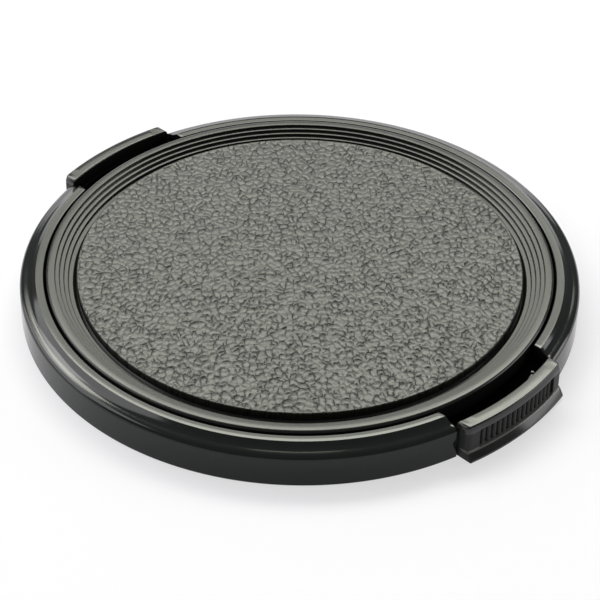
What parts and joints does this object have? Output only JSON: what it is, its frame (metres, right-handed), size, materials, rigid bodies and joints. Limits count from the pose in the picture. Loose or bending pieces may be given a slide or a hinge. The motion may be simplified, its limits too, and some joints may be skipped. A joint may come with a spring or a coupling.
{
  "type": "camera lens cap",
  "caption": "Round side-pinch lens cap with a grained face disc in a stepped front plate and two sprung release tabs that grip a filter thread.",
  "frame": {"origin": "middle of the rim's bottom edge, where the cap rests on a table face up", "axes": "+Z out of the front face, +X along the slide of the release tabs"},
  "size_m": [0.0654, 0.062, 0.0048],
  "materials": {
    "body_plastic": "semi-gloss moulded black",
    "plate_plastic": "satin moulded black",
    "grained_plastic": "pebbled leather grain, satin",
    "tab_plastic": "satin moulded black",
    "spring_steel": "drawn spring wire"
  },
  "bodies": {
    "cap_body": {"rim_body": "body_plastic", "front_plate": "plate_plastic", "face_disc": "grained_plastic", "spring_right": "spring_steel", "spring_left": "spring_steel"},
    "right_tab": {"release_tab_right": "tab_plastic"},
    "left_tab": {"release_tab_left": "tab_plastic"}
  },
  "joints": [
    {"name": "right_tab_press", "type": "slide", "parent": "cap_body", "child": "right_tab", "axis": [-1, 0, 0], "range_m": [0, 0.0018], "stiffness_N_per_m": 400, "springref_m": -0.0025, "deforming": ["spring_right"]},
    {"name": "left_tab_press", "type": "slide", "parent": "cap_body", "child": "left_tab", "axis": [1, 0, 0], "range_m": [0, 0.0018], "stiffness_N_per_m": 400, "springref_m": -0.0025, "deforming": ["spring_left"]}
  ]
}
